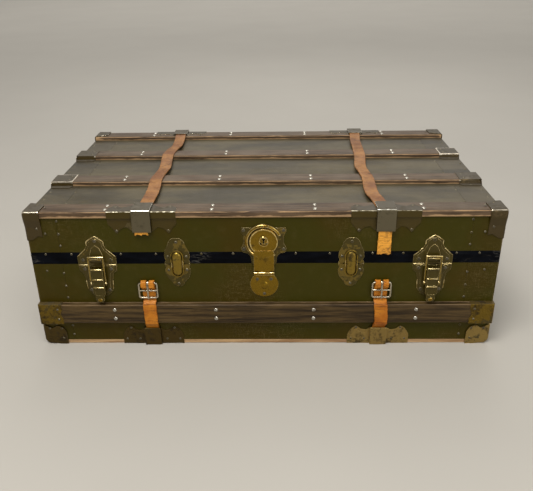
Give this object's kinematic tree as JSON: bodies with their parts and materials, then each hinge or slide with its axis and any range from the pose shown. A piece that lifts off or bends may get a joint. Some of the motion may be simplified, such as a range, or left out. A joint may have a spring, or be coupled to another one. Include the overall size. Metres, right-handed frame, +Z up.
{
  "type": "footlocker",
  "caption": "Flat-topped slatted steamer trunk with a hinged lid, lift-out tray, draw bolts, hasp lock, buckled straps and end handles.",
  "frame": {"origin": "on the floor, under the middle of the overall bounding box", "axes": "+X along the length, to the right when facing the front; +Y from front to back; +Z up"},
  "size_m": [0.98, 0.59, 0.303],
  "materials": {
    "board": "raw softwood board",
    "painted_canvas": "oil-painted olive canvas, worn sheen",
    "fibre_binding": "painted vulcanised fibre",
    "valance": "black enamel",
    "lining": "plain lining paper",
    "slat": "varnished hardwood, worn",
    "brass": "aged brass plate",
    "bronzed_steel": "bronzed sheet steel, worn bright at the edges",
    "nickel": "dull nickel plate",
    "strap_leather": "russet harness leather",
    "handle_leather": "dark stitched leather",
    "tray_wood": "thin boards, papered"
  },
  "bodies": {
    "case": {"case_bottom_board": "board", "case_front_board": "board", "case_back_board": "board", "case_end_boards": "board", "case_canvas": "painted_canvas", "case_edge_bindings": "fibre_binding", "case_lining": "lining", "case_rim_lip": "board", "tray_runners": "board", "case_slat_front": "slat", "case_slat_back": "slat", "bottom_slats": "slat", "case_slat_clamps": "brass", "bottom_corners": "brass", "bottom_strap_loops": "brass", "lower_strap_left": "strap_leather", "lower_strap_right": "strap_leather", "draw_bolt_bases": "brass", "dowel_sockets": "brass", "lock_lower_plate": "brass", "handles": "handle_leather", "handle_brackets": "bronzed_steel", "hinge_case_leaves": "bronzed_steel", "hinge_pins": "bronzed_steel", "case_slat_nails": "nickel"},
    "lid": {"lid_top_board": "board", "lid_front_board": "board", "lid_back_board": "board", "lid_end_boards": "board", "lid_canvas": "painted_canvas", "lid_edge_bindings": "fibre_binding", "lid_valance": "valance", "lid_lining": "lining", "lid_slats_edge": "slat", "lid_slats_middle": "slat", "lid_slat_nails": "nickel", "lid_slat_clamps": "bronzed_steel", "top_corners": "bronzed_steel", "lid_strap_loops": "bronzed_steel", "upper_strap_left": "strap_leather", "upper_strap_right": "strap_leather", "draw_bolt_keepers": "brass", "dowel_tongues": "brass", "lock_receiver": "brass", "hinge_lid_leaves": "bronzed_steel"},
    "lock_hasp": {"lock_hasp": "brass"},
    "lock_plug": {"lock_plug": "nickel"},
    "draw_bolt_lever_left": {"draw_bolt_lever_left": "brass"},
    "draw_bolt_bail_left": {"draw_bolt_bail_left": "brass"},
    "buckle_frame_left": {"buckle_frame_left": "nickel"},
    "buckle_prong_left": {"buckle_prong_left": "nickel"},
    "draw_bolt_lever_right": {"draw_bolt_lever_right": "brass"},
    "draw_bolt_bail_right": {"draw_bolt_bail_right": "brass"},
    "buckle_frame_right": {"buckle_frame_right": "nickel"},
    "buckle_prong_right": {"buckle_prong_right": "nickel"},
    "tray": {"tray_walls": "tray_wood", "tray_bottom": "tray_wood", "tray_divider": "tray_wood", "tray_pull_tabs": "strap_leather"}
  },
  "joints": [
    {"name": "lid_hinge", "type": "hinge", "parent": "case", "child": "lid", "pos_m": [0, 0.286, 0.1865], "axis": [-1, 0, 0], "range_deg": [0, 100]},
    {"name": "hasp_hinge", "type": "hinge", "parent": "case", "child": "lock_hasp", "pos_m": [0, -0.2853, 0.167], "axis": [1, 0, 0], "range_deg": [0, 150]},
    {"name": "plug_turn", "type": "hinge", "parent": "lock_hasp", "child": "lock_plug", "pos_m": [0, -0.2835, 0.238], "axis": [0, -1, 0], "range_deg": [0, 90]},
    {"name": "tray_lift", "type": "slide", "parent": "case", "child": "tray", "axis": [0, 0, 1], "range_m": [0, 0.09]},
    {"name": "lever_left", "type": "hinge", "parent": "case", "child": "draw_bolt_lever_left", "pos_m": [-0.328, -0.29, 0.176], "axis": [-1, 0, 0], "range_deg": [0, 90]},
    {"name": "bail_left", "type": "hinge", "parent": "draw_bolt_lever_left", "child": "draw_bolt_bail_left", "pos_m": [-0.328, -0.29, 0.148], "axis": [-1, 0, 0], "range_deg": [-141, 0]},
    {"name": "buckle_left", "type": "hinge", "parent": "case", "child": "buckle_frame_left", "pos_m": [-0.232, -0.286, 0.146], "axis": [-1, 0, 0], "range_deg": [0, 90]},
    {"name": "prong_left", "type": "hinge", "parent": "buckle_frame_left", "child": "buckle_prong_left", "pos_m": [-0.232, -0.286, 0.146], "axis": [-1, 0, 0], "range_deg": [0, 70]},
    {"name": "lever_right", "type": "hinge", "parent": "case", "child": "draw_bolt_lever_right", "pos_m": [0.328, -0.29, 0.176], "axis": [-1, 0, 0], "range_deg": [0, 90]},
    {"name": "bail_right", "type": "hinge", "parent": "draw_bolt_lever_right", "child": "draw_bolt_bail_right", "pos_m": [0.328, -0.29, 0.148], "axis": [-1, 0, 0], "range_deg": [-141, 0]},
    {"name": "buckle_right", "type": "hinge", "parent": "case", "child": "buckle_frame_right", "pos_m": [0.232, -0.286, 0.146], "axis": [-1, 0, 0], "range_deg": [0, 90]},
    {"name": "prong_right", "type": "hinge", "parent": "buckle_frame_right", "child": "buckle_prong_right", "pos_m": [0.232, -0.286, 0.146], "axis": [-1, 0, 0], "range_deg": [0, 70]}
  ],
  "couplings": [
    {"joint": "bail_left", "follows": "lever_left", "ratio": -1.556},
    {"joint": "bail_right", "follows": "lever_right", "ratio": -1.556}
  ]
}
